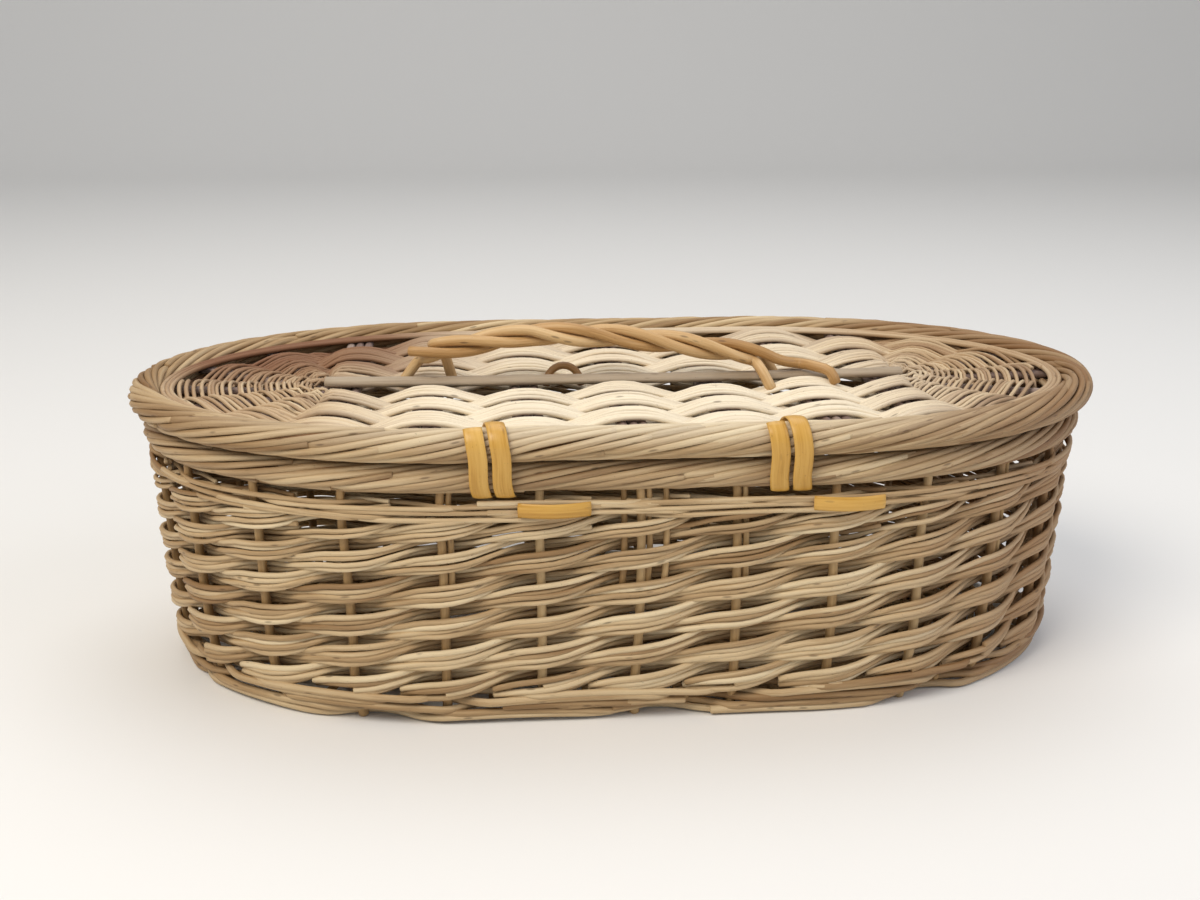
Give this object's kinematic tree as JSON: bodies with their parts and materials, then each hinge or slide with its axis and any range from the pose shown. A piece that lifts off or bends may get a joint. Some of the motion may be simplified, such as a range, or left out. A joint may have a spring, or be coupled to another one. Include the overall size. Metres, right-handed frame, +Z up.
{
  "type": "lidded wicker basket",
  "caption": "Oval wicker basket with an open slewed wall, a woven lid with a low roped handle, and hinge loops of flat cane",
  "frame": {"origin": "centre of the basket's footprint, on the ground under the foot", "axes": "X along the basket, Y across it with the hinge side at -Y, Z up"},
  "size_m": [0.4584, 0.2376, 0.1559],
  "materials": {
    "stake": "peeled rod, matt",
    "slewing": "peeled rod, matt",
    "waling": "peeled rod, matt",
    "border": "peeled rod, matt",
    "floor": "peeled rod, matt",
    "panel": "sun-bleached rod, matt",
    "cross": "grey weathered rod, matt",
    "handle": "rod worn smooth by hands",
    "cane": "flat split cane, satin"
  },
  "bodies": {
    "basket": {"stake_01": "stake", "stake_02": "stake", "stake_03": "stake", "stake_04": "stake", "stake_05": "stake", "stake_06": "stake", "stake_07": "stake", "stake_08": "stake", "stake_09": "stake", "stake_10": "stake", "stake_11": "stake", "stake_12": "stake", "stake_13": "stake", "stake_14": "stake", "stake_15": "stake", "stake_16": "stake", "stake_17": "stake", "stake_18": "stake", "stake_19": "stake", "stake_20": "stake", "stake_21": "stake", "stake_22": "stake", "stake_23": "stake", "stake_24": "stake", "stake_25": "stake", "stake_26": "stake", "slewing_a": "slewing", "slewing_b": "slewing", "upsett": "waling", "top_wale": "waling", "body_border": "border", "floor_stick_1": "floor", "floor_stick_2": "floor", "floor_stick_3": "floor", "floor_stick_4": "floor", "floor_stick_5": "floor", "floor_stick_6": "floor", "floor_weave_a": "floor", "floor_weave_b": "floor", "hinge_tail_left": "cane", "hinge_tail_right": "cane"},
    "hinge_loops": {"hinge_loop_left": "cane", "hinge_loop_right": "cane"},
    "lid": {"lid_border": "border", "lid_cross_1": "cross", "lid_cross_2": "cross", "lid_cross_3": "cross", "lid_cross_4": "cross", "lid_cross_5": "cross", "lid_cross_6": "cross", "lid_cross_7": "cross", "lid_stick": "cross", "lid_weave_a": "panel", "lid_weave_b": "panel", "handle_core": "handle", "handle_rope_a": "handle", "handle_rope_b": "handle"}
  },
  "joints": [
    {"name": "loops_swing", "type": "hinge", "parent": "basket", "child": "hinge_loops", "pos_m": [0, -0.107, 0.113], "axis": [1, 0, 0], "range_deg": [0, 52]},
    {"name": "lid_swing", "type": "hinge", "parent": "hinge_loops", "child": "lid", "pos_m": [0, -0.11, 0.128], "axis": [1, 0, 0], "range_deg": [0, 45.5]}
  ],
  "couplings": [
    {"joint": "loops_swing", "follows": "lid_swing", "ratio": 1.1429}
  ]
}
